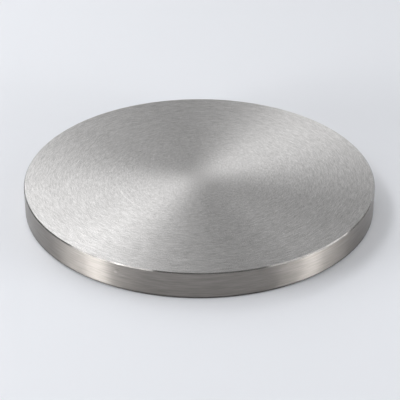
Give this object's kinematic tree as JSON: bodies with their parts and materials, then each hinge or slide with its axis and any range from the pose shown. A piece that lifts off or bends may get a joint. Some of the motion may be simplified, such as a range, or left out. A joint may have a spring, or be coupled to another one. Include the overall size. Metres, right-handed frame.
{
  "type": "sputtering target",
  "caption": "Flat round metal disc, turned all over with finely broken edges, that is clamped on a magnetron cathode as the source metal for thin film coating.",
  "frame": {"origin": "centre of the back face, which the disc rests on", "axes": "+Z along the disc's axis, from the back face to the sputtering face"},
  "size_m": [0.0762, 0.0762, 0.006],
  "materials": {
    "turned_metal": "fine turned, circular lay"
  },
  "bodies": {
    "root": {"target_disc": "turned_metal"}
  },
  "joints": []
}
